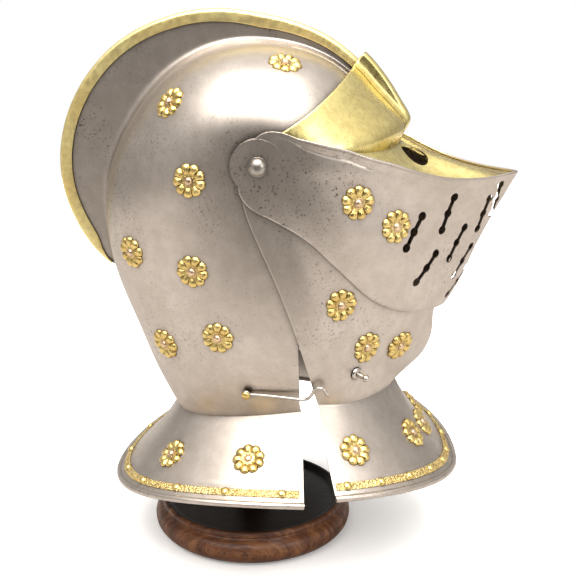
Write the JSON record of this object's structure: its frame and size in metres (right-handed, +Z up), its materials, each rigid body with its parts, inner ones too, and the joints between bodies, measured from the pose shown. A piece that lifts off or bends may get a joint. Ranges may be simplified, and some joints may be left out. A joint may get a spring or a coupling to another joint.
{
  "type": "close helmet on stand",
  "caption": "Close helmet with a tall comb, lifting visor, beaked ventail and chin bevor on shared side pivots, with collar plates, on a turned wooden stand.",
  "frame": {"origin": "centre of the flat underside of the display stand", "axes": "+X towards the face of the helmet, +Y to its left, +Z up"},
  "size_m": [0.3468, 0.2518, 0.4151],
  "materials": {
    "polished_steel": "satin polish with fine scratches and faint pitting",
    "bright_steel": "polished",
    "dark_steel": "plain",
    "satin_brass": "satin gold with darker wear",
    "old_brass": "cast, darkened in the hollows",
    "embossed_brass": "pebbled strip",
    "dark_wood": "dark stain, satin lacquer",
    "felt": "short nap",
    "leather": "smooth vegetable tan"
  },
  "bodies": {
    "stand": {"stand_base": "dark_wood", "stand_felt": "felt", "stand_screw": "dark_steel", "stand_post": "dark_wood", "stand_head": "dark_wood", "stand_pad": "felt"},
    "skull": {"skull_right": "polished_steel", "skull_left": "polished_steel", "comb_trim": "satin_brass", "skull_rosettes": "old_brass", "skull_rosette_rivets": "old_brass", "rear_gorget": "polished_steel", "rear_gorget_band": "embossed_brass", "rear_band_rivets": "old_brass", "rear_gorget_rosettes": "old_brass", "rear_gorget_rosette_rivets": "old_brass", "lining_band": "leather", "lining_rivets": "old_brass", "pivot_rivet_right": "bright_steel", "pivot_rivet_left": "bright_steel", "pivot_washers": "old_brass", "pivot_nuts": "dark_steel", "hook_rivet": "old_brass"},
    "hook": {"latch_hook": "bright_steel"},
    "bevor": {"bevor": "polished_steel", "bevor_rosettes": "old_brass", "bevor_rosette_rivets": "old_brass", "latch_collar": "bright_steel", "latch_peg": "bright_steel", "front_gorget": "polished_steel", "front_gorget_band": "embossed_brass", "front_band_rivets": "old_brass", "front_gorget_rosettes": "old_brass", "front_gorget_rosette_rivets": "old_brass"},
    "ventail": {"ventail": "polished_steel", "ventail_rosettes": "old_brass", "ventail_rosette_rivets": "old_brass"},
    "visor": {"visor": "satin_brass"}
  },
  "joints": [
    {"name": "helmet_lift", "type": "slide", "parent": "stand", "child": "skull", "axis": [0, 0, 1], "range_m": [0, 0.36]},
    {"name": "bevor_hinge", "type": "hinge", "parent": "skull", "child": "bevor", "pos_m": [0.019, 0, 0.317], "axis": [0, -1, 0], "range_deg": [-4.5, 15]},
    {"name": "ventail_hinge", "type": "hinge", "parent": "bevor", "child": "ventail", "pos_m": [0.019, 0, 0.317], "axis": [0, -1, 0], "range_deg": [0, 15]},
    {"name": "visor_hinge", "type": "hinge", "parent": "ventail", "child": "visor", "pos_m": [0.019, 0, 0.317], "axis": [0, -1, 0], "range_deg": [0, 15]},
    {"name": "hook_hinge", "type": "hinge", "parent": "skull", "child": "hook", "pos_m": [0.007, -0.07488, 0.14542], "axis": [-0.0858, -0.9565, -0.2788], "range_deg": [0, 75]}
  ]
}
